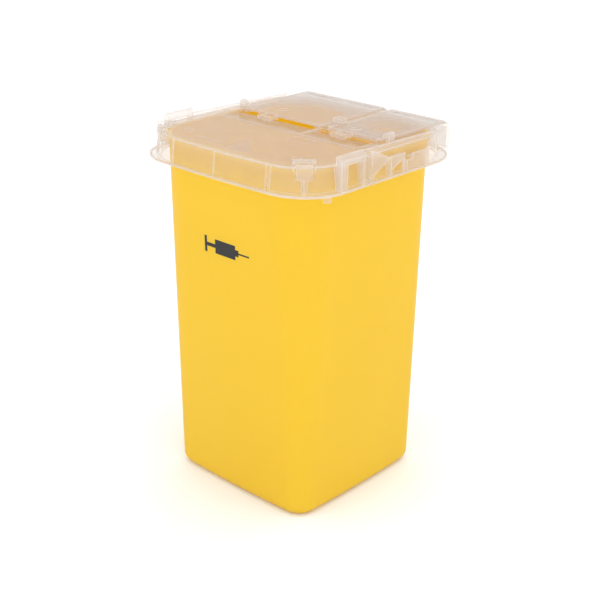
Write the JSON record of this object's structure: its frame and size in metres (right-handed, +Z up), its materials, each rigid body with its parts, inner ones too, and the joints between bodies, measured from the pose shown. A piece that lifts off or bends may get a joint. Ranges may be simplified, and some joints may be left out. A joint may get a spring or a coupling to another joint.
{
  "type": "sharps container",
  "caption": "Small square sharps bin with a clear press-on lid and two hinged flaps, one over a large drop opening and one over a round hole.",
  "frame": {"origin": "middle of the bin's base, on the plane it stands on", "axes": "+Z up, -Y towards the front with the bare deck, +X towards the small flap's side; the flaps hinge along the +Y edge"},
  "size_m": [0.1256, 0.1244, 0.2],
  "materials": {
    "bin_plastic": "satin opaque yellow polypropylene with a fine grain",
    "lid_plastic": "smooth translucent natural polypropylene"
  },
  "bodies": {
    "bin_body": {"bin": "bin_plastic"},
    "lid_body": {"lid_shell": "lid_plastic", "corner_snap_left": "lid_plastic", "corner_snap_right": "lid_plastic", "side_rail_left": "lid_plastic", "side_rail_right": "lid_plastic", "side_wing_right": "lid_plastic", "front_ledge_left": "lid_plastic", "front_ledge_right": "lid_plastic", "rear_ledge_left": "lid_plastic", "rear_ledge_right": "lid_plastic", "flap_catch_left": "lid_plastic", "flap_catch_centre": "lid_plastic", "flap_catch_right": "lid_plastic"},
    "large_flap_body": {"large_flap": "lid_plastic", "large_flap_clip": "lid_plastic", "large_flap_hinge_film": "lid_plastic"},
    "small_flap_body": {"small_flap": "lid_plastic", "small_flap_clip": "lid_plastic", "small_flap_hinge_film": "lid_plastic"}
  },
  "joints": [
    {"name": "lid_lift", "type": "slide", "parent": "bin_body", "child": "lid_body", "axis": [0, 0, 1], "range_m": [0, 0.03], "deforming": ["corner_snap_left", "corner_snap_right"]},
    {"name": "large_flap_hinge", "type": "hinge", "parent": "lid_body", "child": "large_flap_body", "pos_m": [-0.02, 0.0617, 0.19537], "axis": [-1, 0, 0], "range_deg": [0, 180], "deforming": ["large_flap_hinge_film", "flap_catch_left"]},
    {"name": "small_flap_hinge", "type": "hinge", "parent": "lid_body", "child": "small_flap_body", "pos_m": [0.031, 0.0617, 0.19537], "axis": [-1, 0, 0], "range_deg": [0, 180], "deforming": ["small_flap_hinge_film", "flap_catch_centre", "flap_catch_right"]}
  ]
}
